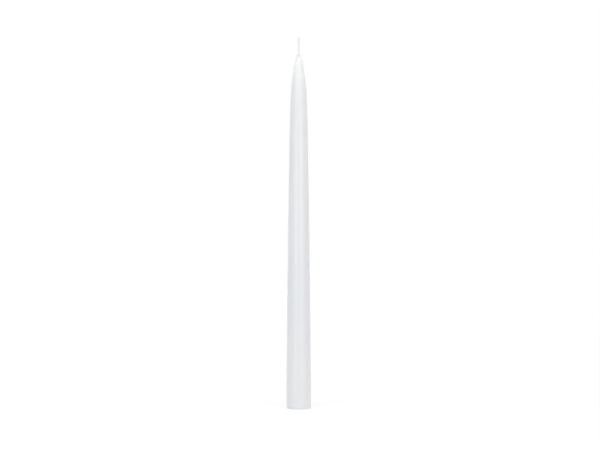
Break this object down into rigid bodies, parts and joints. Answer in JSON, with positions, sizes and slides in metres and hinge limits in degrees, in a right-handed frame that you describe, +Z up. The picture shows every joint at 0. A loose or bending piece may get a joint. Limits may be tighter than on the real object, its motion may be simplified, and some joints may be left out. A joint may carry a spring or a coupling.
{
  "type": "taper candle",
  "caption": "Slim white taper candle with a rounded nose, a straight butt for a holder's cup and a plaited cotton wick.",
  "frame": {"origin": "middle of the butt's flat end, on the surface that the candle stands on", "axes": "+Z up the candle's axis, from the butt to the wick; +X across the broad side of the wick's plait; +Y away from the viewer"},
  "size_m": [0.0214, 0.0214, 0.3215],
  "materials": {
    "wax": "satin",
    "cotton_wick": "matte"
  },
  "bodies": {
    "root": {"wax_body": "wax", "wick": "cotton_wick"}
  },
  "joints": []
}
